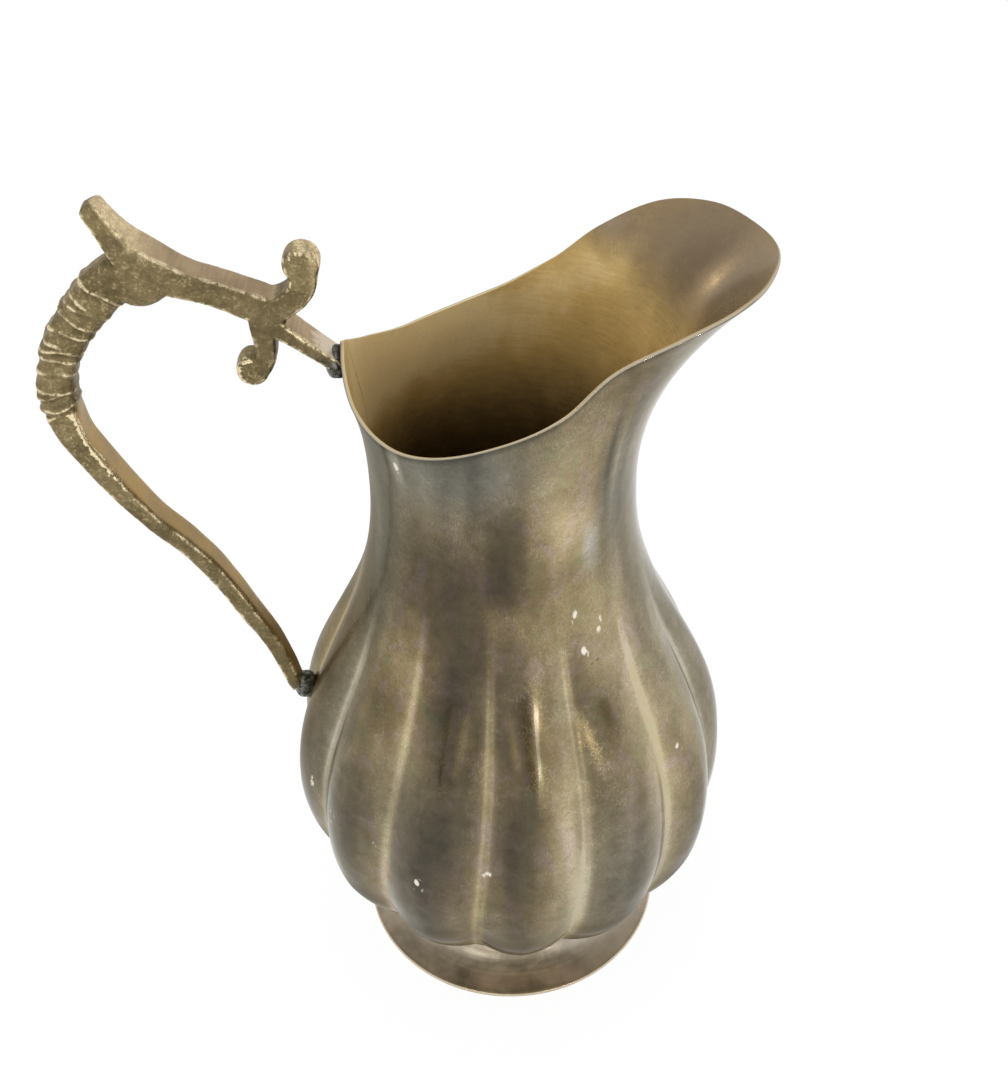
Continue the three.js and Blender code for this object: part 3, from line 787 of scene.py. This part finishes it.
# Rings of one closed outline, turned round the axis
def revolve(outline, columns):
    azimuth = np.arange(columns) / columns * 2 * math.pi
    r, z = outline[:, :1], outline[:, 1:]
    return np.stack([r * np.cos(azimuth), r * np.sin(azimuth), np.repeat(z, columns, 1)], -1)


# Rings with lumps of a size: each point moves in or out along the axes by a share of where it lies
def uneven(rings, share, size, seed, axes):
    return rings * (1 + share * lumps(rings, size, seed)[..., None] * axes)


def makeFoot():
    radius, height, lipTop = foot["radius"], foot["height"], foot["lip"] + foot["lipRound"]
    neck = body["baseRadius"] + foot["neckOut"]
    neckInside = neck - foot["sheet"]
    shoulder = [(neck, height), (neck, height - foot["neckDrop"])]
    rest = [(radius - foot["flareFlat"], lipTop), (radius - foot["lipRound"], lipTop)]
    flare = bezier(shoulder + rest, foot["rows"][0])
    tread = radius - foot["tread"]
    under = [(tread, 0), (tread - foot["hollowFlat"], 0)]
    inside = [(neckInside, height - foot["hollowDrop"]), (neckInside, height)]
    hollow = bezier(under + inside, foot["rows"][1])
    corner = np.linspace(0, math.pi / 2, 5)[:, None]
    bend = foot["lipRound"] * np.hstack([np.cos(corner), np.sin(corner)])
    bend += (radius - foot["lipRound"], foot["lip"])
    sole = np.array([(radius - foot["soleRound"], 0), (radius, foot["soleRound"])])
    outline = np.vstack([sole, bend, flare[::-1][1:], hollow[::-1]])
    rings = uneven(revolve(outline, foot["columns"]), *foot["wobble"], 8, (1, 1, 0))
    out = np.hypot(rings[..., 0], rings[..., 1])
    forward = rings[..., 0] / out
    values = {
        "out": out,
        "worn": smooth(out, radius - 0.9, radius - 0.2) * (rings[..., 2] > 0.1),
        # Painted reflection: pale on the +X side, half as strong on the -X side
        "pale": smooth(forward, 0.25, 0.75) + 0.5 * smooth(-forward, 0.25, 0.75),
    }
    faces = [ringFaces(len(rings), foot["columns"], True)]
    putPiece("jug_foot", rings.reshape(-1, 3), faces, values, spunBrassLook, "foot_ring")


makeFoot()
print("foot made")

# Solder fillet under the body, a closed outline turned round the axis with a lumpy outer face
seam = {
    "width": 1.3,
    "top": 9.0,
    "under": 6.7,
    "gap": 0.1,
    "backOut": 0.2,
    "backBevel": 0.1,
    "columns": 240,
    "wobble": (0.004, 2.4),
}


def makeSeam():
    inner = body["baseRadius"] + foot["neckOut"] + seam["gap"]
    turn = np.linspace(-math.pi / 2, math.pi / 2, 9)[:, None]
    middle = (seam["top"] + seam["under"]) / 2
    half = (seam["top"] - seam["under"]) / 2
    bulge = np.hstack([seam["width"] * np.cos(turn), half * np.sin(turn)])
    bulge += (inner + seam["backOut"], middle)
    back = [(inner, seam["top"] - seam["backBevel"]), (inner, seam["under"] + seam["backBevel"])]
    rings = revolve(np.vstack([bulge, back]), seam["columns"])
    rings = uneven(rings, *seam["wobble"], 9, (1, 1, 0))
    faces = [ringFaces(len(rings), seam["columns"], True)]
    putPiece("foot_solder", rings.reshape(-1, 3), faces, {}, solderFinish, "foot_seam")


makeSeam()

# Handle: limbs of rounded section along curves in the plane Y = 0.
# A station is out and up from the back of the rim, then depth in the plane and width across it.
# On the strap the first two are the share of its length and how far it lies inside the straight line
handle = {
    "grip": [
        (36.5, 18.6, 7, 8.8), (42.4, 18.2, 13.0, 9.0), (46.5, 18.8, 12.8, 9.2), (50.2, 17.5, 11.2, 9.2),
        (55.0, 12.6, 11.0, 9.2), (59.6, 7.4, 10.4, 9.2), (63.5, 1.4, 9.6, 9.2), (66.3, -4.9, 9.2, 9.2),
        (67.7, -11.8, 9.6, 9.2), (67.4, -18.9, 8.6, 9.0),
    ],
    "horn": [
        (51.5, 37.4, 4.6, 6.0), (49.1, 32.8, 5.0, 6.6), (46.5, 28.2, 6.2, 7.8), (43.4, 24.0, 8.2, 8.8),
        (38.5, 20.3, 8.4, 8.4), (32.6, 17.4, 7.1, 7.8), (28.0, 15.9, 6.8, 7.4), (22.8, 13.6, 7.2, 7.2),
        (18.6, 11.6, 7.7, 7.2), (15.0, 10.4, 7.2, 7.2), (11.5, 11.5, 6.0, 7.2), (8.3, 13.9, 6.0, 7.0),
        (6.6, 17.2, 6.3, 7.0), (6.5, 20.0, 6.4, 7.0), (6.7, 21.6, 6.4, 7.0),
    ],
    "scroll": [
        (17.2, 10.0, 6.2, 7.2), (17.2, 5.2, 5.9, 7.2), (17.0, 1.0, 5.5, 7.2), (17.4, -2.9, 5.2, 7.2),
        (18.9, -5.4, 5.4, 7.2), (20.7, -5.9, 5.8, 7.2),
    ],
    "strut": [
        (16.8, 8.9, 6.6, 7.8), (13.2, 5.6, 4.9, 8.0), (9.4, 2.5, 3.9, 8.0), (5.3, -1.1, 3.6, 7.6),
        (1.5, -4.3, 3.6, 7.2), (-0.6, -6.1, 3.6, 7.2),
    ],
    "strap": [
        (-0.02, 0.7, 8.0, 9.0), (0.06, -1.3, 6.8, 9.0), (0.12, -1.4, 6.2, 9.0), (0.21, -1.4, 5.8, 8.7),
        (0.34, -0.3, 5.2, 7.8), (0.45, 2.2, 5.1, 7.3), (0.56, 3.2, 5.1, 6.8), (0.7, 2.5, 5.0, 6.2),
        (0.81, 2.0, 4.8, 5.8), (0.91, 0.1, 4.4, 5.4), (0.98, -1.7, 4.0, 5.0), (1.0, -1.9, 3.9, 4.9),
    ],
    "strapJoint": 83,
    "upperBud": (6.7, 21.6, 4.3, 7.0),
    "lowerBud": (20.7, -5.9, 4.0, 7.2),
    "hornEnd": (46.5, 28.2),
    "hornLine": (0.87, 0.49),
    "gripEnd": (64, -24),
    "branch": (15, 7),
    "filedSide": (0.5, 0, 0.86),
    "innerSide": (0.83, 0, 0.55),
    "ribs": (0.29, 0.375, 0.46, 0.535, 0.60, 0.67, 0.745, 0.83, 0.93),
    "ribHeight": 0.9,
    "ribWidth": 0.75,
    "voxel": 0.31,
    "filletSteps": 14,
    "sandHeight": 0.055,
}
rimBackX = -body["rimRadii"][-1]
rimBackZ = waistZ + body["rimRises"][-1]


# Catmull-Rom curve: tangents from the spans on both sides of each station, centripetal spans if asked for
def alongStations(stations, t, centripetal):
    stations = np.array(stations, float)
    stations = np.vstack([2 * stations[0] - stations[1], stations, 2 * stations[-1] - stations[-2]])
    spans = np.ones(len(stations) - 1)
    if centripetal:
        spans = np.linalg.norm(np.diff(stations, axis=0), axis=1) ** 0.5
    k = np.clip(t.astype(int), 0, len(stations) - 4)
    u = (t - k)[:, None]
    before, here, after, next_ = (stations[k + i] for i in range(4))
    a, b, c = (spans[k + i][:, None] for i in range(3))
    leave = b * ((here - before) / a - (after - before) / (a + b) + (after - here) / b)
    reach = b * ((after - here) / b - (next_ - here) / (b + c) + (next_ - after) / c)
    return (
        here * (1 + 2 * u) * (1 - u) ** 2
        + after * u * u * (3 - 2 * u)
        + u * (1 - u) * (leave * (1 - u) - reach * u)
    )


def lengthAlong(path):
    return np.concatenate([[0], np.cumsum(np.linalg.norm(np.diff(path, axis=0), axis=1))])


def signedPower(value, power):
    return np.sign(value) * np.abs(value) ** power


# Closed limb: at each step a superellipse |a|^n + |b|^n = 1 of the station's depth and width,
# a square to the path in the plane, b across it, with rounded ends where asked for
def limb(stations, place, squareness, steps=14, roundStart=0, swell=None):
    count = (len(stations) - 1) * steps + 1
    t = np.linspace(0, len(stations) - 1, count)
    places = [place(*station[:2]) for station in stations]
    path = alongStations(places, t, True)
    size = alongStations([station[2:] for station in stations], t, False) / 2
    tangent = np.gradient(path, axis=0)
    tangent /= np.linalg.norm(tangent, axis=1, keepdims=True)
    angle = np.linspace(0, 2 * math.pi, 64, endpoint=False)
    a = signedPower(np.cos(angle), 2 / squareness)
    b = signedPower(np.sin(angle), 2 / squareness)
    if roundStart:
        near = 1 - np.clip(lengthAlong(path) / roundStart, 0, 1)
        draw = np.sqrt(np.clip(1 - near**2, 0.02, 1))
        size = size * draw[:, None]
    inPlane = np.stack([tangent[:, 1], -tangent[:, 0]], 1)
    grow = swell(path, a, b) if swell else 0
    alongA = size[:, :1] * a + grow * a
    alongB = size[:, 1:] * b + grow * b
    x = path[:, :1] + inPlane[:, :1] * alongA
    z = path[:, 1:] + inPlane[:, 1:] * alongA
    return closedRings(np.stack([x, alongB, z], -1))


def fromRim(out, up):
    return (rimBackX - out, rimBackZ + up)


upperProfile = bellyProfile((1, 1, 1, 200))[3:]
strapTop = np.array(fromRim(*handle["grip"][-1][:2]))
strapEndZ = body["bottom"] + handle["strapJoint"]
strapEnd = np.array((-np.interp(strapEndZ, upperProfile[:, 1], upperProfile[:, 0]), strapEndZ))


def alongStrap(share, inset):
    run = strapEnd - strapTop
    inwards = np.array((-run[1], run[0])) / np.linalg.norm(run)
    return tuple(strapTop + run * share + inwards * inset)


# Ribs of the grip: narrow ridges at uneven places, slightly wavering, lower at the inner side,
# some of them with a fork
def gripRibs(path, a, b):
    reach = lengthAlong(path)[:, None]
    random = np.random.default_rng(5)
    outer = smooth(a, -1.0, 0.1)
    grow = np.zeros((len(path), len(a)))
    for i, place in enumerate(handle["ribs"]):
        slant = random.uniform(-0.3, 1.2)
        height = handle["ribHeight"] * random.uniform(0.75, 1.15)
        middle = place * reach[-1] + slant * a + 0.35 * np.sin(2.5 * b + i * 2.3) + 0.25 * np.sin(4 * a + i)
        width = handle["ribWidth"] * random.uniform(0.85, 1.2)
        whole = 0.75 + 0.25 * np.sin(4 * a + 2 * b + 2.1 * i)
        grow += height * whole * np.exp(-(np.abs((reach - middle) / width) ** 1.5)) * (0.45 + 0.55 * outer)
        if i % 3 == 1:
            fork = middle + 2.0 * smooth(a, -0.6, 1.0) + 0.5
            grow += 0.6 * height * np.exp(-(((reach - fork) / (0.7 * width)) ** 2)) * outer
    return grow - 0.25


# Round-edged drum across the plane at the end of a scroll
def bud(out, up, radius, width):
    turn = np.linspace(0, math.pi, 15)[:, None]
    angle = np.linspace(0, 2 * math.pi, 48, endpoint=False)
    x, z = fromRim(out, up)
    bulge = np.sin(turn) ** 0.22 * radius
    across = np.repeat(-signedPower(np.cos(turn), 0.5) * width / 2, len(angle), 1)
    return closedRings(np.stack([x + bulge * np.cos(angle), across, z - bulge * np.sin(angle)], -1))


# Joins overlapping closed limbs into one skin of small squares
def weld(parts, voxel):
    points, faces, start = [], [], 0
    for partPoints, partFaces in parts:
        points.append(partPoints)
        faces += [f for block in partFaces for f in (block + start).tolist()]
        start += len(partPoints)
    mesh = bpy.data.meshes.new("limbs")
    mesh.from_pydata(np.vstack(points).tolist(), [], faces)
    holder = addObject("limbs", mesh)
    remesh = holder.modifiers.new("skin", "REMESH")
    remesh.mode = "VOXEL"
    remesh.voxel_size = voxel
    skin = holder.evaluated_get(bpy.context.evaluated_depsgraph_get()).to_mesh()
    co = np.empty(len(skin.vertices) * 3)
    skin.vertices.foreach_get("co", co)
    quads = np.empty(len(skin.loops), int)
    skin.loops.foreach_get("vertex_index", quads)
    bpy.data.objects.remove(holder)
    return co.reshape(-1, 3), quads.reshape(-1, 4)


# Each point's neighbours are averaged over the edges of the squares
class Skin:
    def __init__(self, points, quads):
        self.points, self.quads = points, quads
        pairs = np.vstack([quads[:, [0, 1]], quads[:, [1, 2]], quads[:, [2, 3]], quads[:, [3, 0]]])
        self.start, self.end = pairs.T
        self.count = np.maximum(np.bincount(self.start, minlength=len(points)), 1)

    def average(self, values):
        flat = values.reshape(len(self.points), -1)
        sums = [np.bincount(self.start, flat[self.end, k], len(self.points)) for k in range(flat.shape[1])]
        return (np.stack(sums, -1) / self.count[:, None]).reshape(values.shape)

    def normals(self):
        p, q = self.points, self.quads
        face = np.cross(p[q[:, 2]] - p[q[:, 0]], p[q[:, 3]] - p[q[:, 1]])
        sums = [sum(np.bincount(q[:, i], face[:, k], len(p)) for i in range(4)) for k in range(3)]
        total = np.stack(sums, -1)
        return total / np.maximum(np.linalg.norm(total, axis=1, keepdims=True), 1e-9)

    # From each point to the middle of its neighbours
    def pull(self):
        return self.average(self.points) - self.points

    # How far the surface bends in at each point: the pull along the normal, in millimetres
    def bend(self):
        return np.sum(self.pull() * self.normals(), axis=1)


def makeHandle():
    parts = [
        limb(handle["grip"], fromRim, 3.2, 18, swell=gripRibs),
        limb(handle["horn"], fromRim, 10, roundStart=1.6),
        limb(handle["scroll"], fromRim, 4.5),
        limb(handle["strut"], fromRim, 9),
        limb(handle["strap"], alongStrap, 6),
        bud(*handle["upperBud"]),
        bud(*handle["lowerBud"]),
    ]
    skin = Skin(*weld(parts, handle["voxel"]))
    for _ in range(handle["filletSteps"]):
        offGrip = smooth(skin.points[:, 0], rimBackX - 54, rimBackX - 48)
        skin.points = skin.points + skin.pull() * (smooth(skin.bend(), 0.004, 0.03) * offGrip)[:, None] * 0.8
    for _ in range(2):
        skin.points = skin.points + skin.pull() * 0.5
    p, normal = skin.points, skin.normals()
    out, up = rimBackX - p[:, 0], p[:, 2] - rimBackZ
    toUpperBud, toLowerBud, toGripEnd, toBranch = (
        np.linalg.norm(p[:, ::2] - fromRim(*handle[key][:2]), axis=1)
        for key in ("upperBud", "lowerBud", "gripEnd", "branch")
    )
    toJoint = np.linalg.norm(p - (rimBackX, 0, rimBackZ - 3), axis=1)
    upward = smooth(normal @ handle["filedSide"], 0.62, 0.85)
    inward = normal @ handle["innerSide"]

    # Filed upper faces clear of grip and buds, and the smooth inner face of grip and strap
    offBuds = smooth(toUpperBud, 4.5, 8) * smooth(toLowerBud, 4, 6)
    filed = upward * (up > -8) * ~((out > 52) & (up < 22)) * offBuds
    inner = smooth(inward, 0.6, 0.85) * (up < -14)
    rough = 1 - 0.8 * np.maximum(filed, inner)
    height = handle["sandHeight"] * (lumps(p, 2.6, 11) + 0.7 * lumps(p, 1.1, 12)) * rough
    height += 0.12 * lumps(p, 7, 13)
    skin.points = p + normal * height[:, None]

    # Bright chips along the near edges, and the horn's tip and the upper bud rubbed smooth
    bend = skin.average(skin.bend())
    hornTip = 0.9 * smooth(up, 24, 33) * upward
    nearEdge = smooth(-bend, 0.001, 0.012) * (p[:, 1] < -2)
    chipped = nearEdge * smooth(inward, -0.3, 0.2) * (1.3 - smooth(toGripEnd, 6, 20))
    chipped *= (up < -16) & (out > 28)
    chipped += 0.8 * nearEdge * (1 - smooth(toLowerBud, 4.2, 6)) * (out > 20)
    chipped += 0.7 * nearEdge * (1 - smooth(toUpperBud, 4.5, 7)) + 0.8 * nearEdge * hornTip
    pastHorn = (p[:, ::2] - fromRim(*handle["hornEnd"])) @ handle["hornLine"]
    hornTip = np.maximum(hornTip, 0.8 * smooth(pastHorn, 1.2, 2.4) * smooth(up, 24, 30))
    budSide = smooth(handle["upperBud"][0] - out, 1.2, 2.6)
    facing = np.maximum(smooth(normal[:, 0] + normal[:, 2], 0.3, 0.9), 0.5 * budSide)
    low = np.maximum(smooth(p[:, 2], rimBackZ - 40, strapEndZ), 1 - smooth(toBranch, 4, 13))
    values = {
        "worn": smooth(0.007 * lumps(p, 3, 14) - bend, 0.009, 0.02),
        "hollow": smooth(bend, 0.003, 0.016),
        "filed": np.maximum(filed, inner),
        "strap": inner,
        "low": low * (1 - inner),
        "rubbed": np.maximum((1 - smooth(toUpperBud, 7, 12)) * facing, hornTip),
        "chipped": chipped * 0.8,
        "fluxed": (1 - smooth(toJoint, 4, 14)) * smooth(-normal[:, 2], -0.35, 0.3),
        "tinned": (1 - smooth(toJoint, 3, 13)) * smooth(normal[:, 2], -0.2, 0.4),
    }
    return putPiece("jug_handle", skin.points, [skin.quads], values, castBrassLook, "handle")


cast = makeHandle()
print("handle made:", len(cast.data.vertices), "points")

# Solder at the joints: a ball drawn out along three axes, with lumps
solderDrops = {
    "upper_solder": {"middle": (rimBackX - 1.3, 0, rimBackZ - 5.4), "radii": (2.6, 4.3, 4.2)},
    "lower_solder": {"middle": (strapEnd[0], 0, strapEndZ - 1.1), "radii": (3.2, 3.5, 4.5)},
}


def makeDrop(node, middle, radii):
    rise = np.linspace(-math.pi / 2, math.pi / 2, 61)[1:-1, None]
    ball = revolve(np.hstack([np.cos(rise), np.sin(rise)]), 96)
    points, faces = closedRings(uneven(ball, 0.08, 0.6, 15, (1, 1, 1)) * radii + middle)
    putPiece(node + "_drop", points, faces, {}, solderFinish, node)


for node, drop in solderDrops.items():
    makeDrop(node, **drop)
print("solder made")

# Floor, world and lamps
room = {
    "floorSize": 6,
    "floor": (0.86, 0.86, 0.85),
    "floorShare": 0.88,
    "floorLight": 1.06,
    "white": (1.0, 1.0, 1.0),
    "pale": (0.9, 0.9, 0.9),
    "overhead": (0.8, 0.81, 0.82),
    "dim": (0.3, 0.28, 0.25),
    "lampDistance": 1.3,
    "lampTarget": 0.16,
}

# Area lamps: heading and rise in degrees from the jug, size in metres, power, colour
lamps = {
    "windowFront": (-101, 5, (0.1, 0.1), 0.5, (1.0, 0.97, 0.95)),
    "windowRight": (-68, 1, (0.12, 0.16), 0.8, (1.0, 0.98, 0.94)),
    "windowBack": (139, 17, (0.16, 0.014), 0.34, (1.0, 0.88, 0.66)),
    "ceilingLeft": (-120, 42, (0.05, 0.05), 0.8, (0.96, 0.98, 1.0)),
    "ceilingRight": (-55, 24, (0.04, 0.04), 0.6, (1.0, 1.0, 1.0)),
}


# The camera and mirror-like reflections see the floor mostly as plain white, and its shadow through the rest
def makeFloor():
    bpy.ops.mesh.primitive_plane_add(size=room["floorSize"], location=(0, 0, -0.0001))
    floor = bpy.context.object
    floor.name = "floor"
    paint = Paint(bpy.data.materials.new("paleFloor"))
    seen = paint.ray("Camera").larger(paint.ray("Glossy")) * room["floorShare"]
    matt = paint.node("ShaderNodeBsdfDiffuse", {}, {"Color": room["floor"]})
    glow = paint.node("ShaderNodeEmission", {}, {"Color": room["white"], "Strength": room["floorLight"]})
    both = paint.node("ShaderNodeMixShader", {}, {0: seen, 1: matt, 2: glow})
    paint.node("ShaderNodeOutputMaterial", {}, {"Surface": both})
    floor.data.materials.append(paint.owner)


# White to the camera. The jug mirrors a pale room, a little greyer overhead, with soft dim upright shapes
def makeWorld():
    world = bpy.context.scene.world or bpy.data.worlds.new("room")
    bpy.context.scene.world = world
    paint = Paint(world)
    way = paint.node("ShaderNodeTexCoord", {}, {}, "Generated")
    height = paint.node("ShaderNodeSeparateXYZ", {}, {0: way}, 2)
    colour = paint.blend(paint.step(height, 0.1, 0.9), room["pale"], room["overhead"])
    upright = paint.node("ShaderNodeVectorMath", {"operation": "MULTIPLY"}, {0: way, 1: (1.0, 1.0, 0.35)})
    shapes = paint.noise(upright, 0.5, 2, 0.4)
    dim = paint.step(shapes, 0.44, 0.62) * paint.step(height, 0.75, 0.35)
    colour = paint.over(colour, (dim, room["dim"]), (paint.ray("Camera"), room["white"]))
    back = paint.node("ShaderNodeBackground", {}, {"Color": colour, "Strength": 1.0})
    paint.node("ShaderNodeOutputWorld", {}, {"Surface": back})


def makeLamp(name, heading, rise, size, power, colour):
    light = bpy.data.lights.new(name, "AREA")
    light.shape = "RECTANGLE"
    light.size, light.size_y = size
    light.energy, light.color = power, colour
    lamp = addObject(name, light)
    turn, lift, distance = math.radians(heading), math.radians(rise), room["lampDistance"]
    level = distance * math.cos(lift)
    away = Vector((math.cos(turn) * level, math.sin(turn) * level, distance * math.sin(lift)))
    lamp.location = Vector((0, 0, room["lampTarget"])) + away
    lamp.rotation_euler = (-away).to_track_quat("-Z", "Y").to_euler()
    lamp.visible_camera = False


makeFloor()
makeWorld()
for name, lamp in lamps.items():
    makeLamp(name, *lamp)

# Camera as the photograph was taken: place in jug millimetres, pitch down, roll
view = {
    "place": (-0.1, -293.9, 397.1),
    "pitch": 40.93,
    "roll": -1.18,
    "lens": 50,
    "sensor": 36,
    "clip": (0.01, 20),
}


def makeCamera():
    data = bpy.data.cameras.new("camera")
    data.lens, data.sensor_width = view["lens"], view["sensor"]
    data.clip_start, data.clip_end = view["clip"]
    camera = addObject("camera", data)
    pitch, roll = math.radians(view["pitch"]), math.radians(view["roll"])
    forward = Vector((0, math.cos(pitch), -math.sin(pitch)))
    level = Vector((1, 0, 0))
    upright = level.cross(forward)
    right = math.cos(roll) * level + math.sin(roll) * upright
    up = -math.sin(roll) * level + math.cos(roll) * upright
    turn = Matrix((right, up, -forward)).transposed().to_4x4()
    place = Vector(toFrame(np.array(view["place"])))
    camera.matrix_world = Matrix.Translation(place) @ turn
    bpy.context.scene.camera = camera


makeCamera()
bpy.context.scene.view_settings.view_transform = "Standard"
print("stage made")
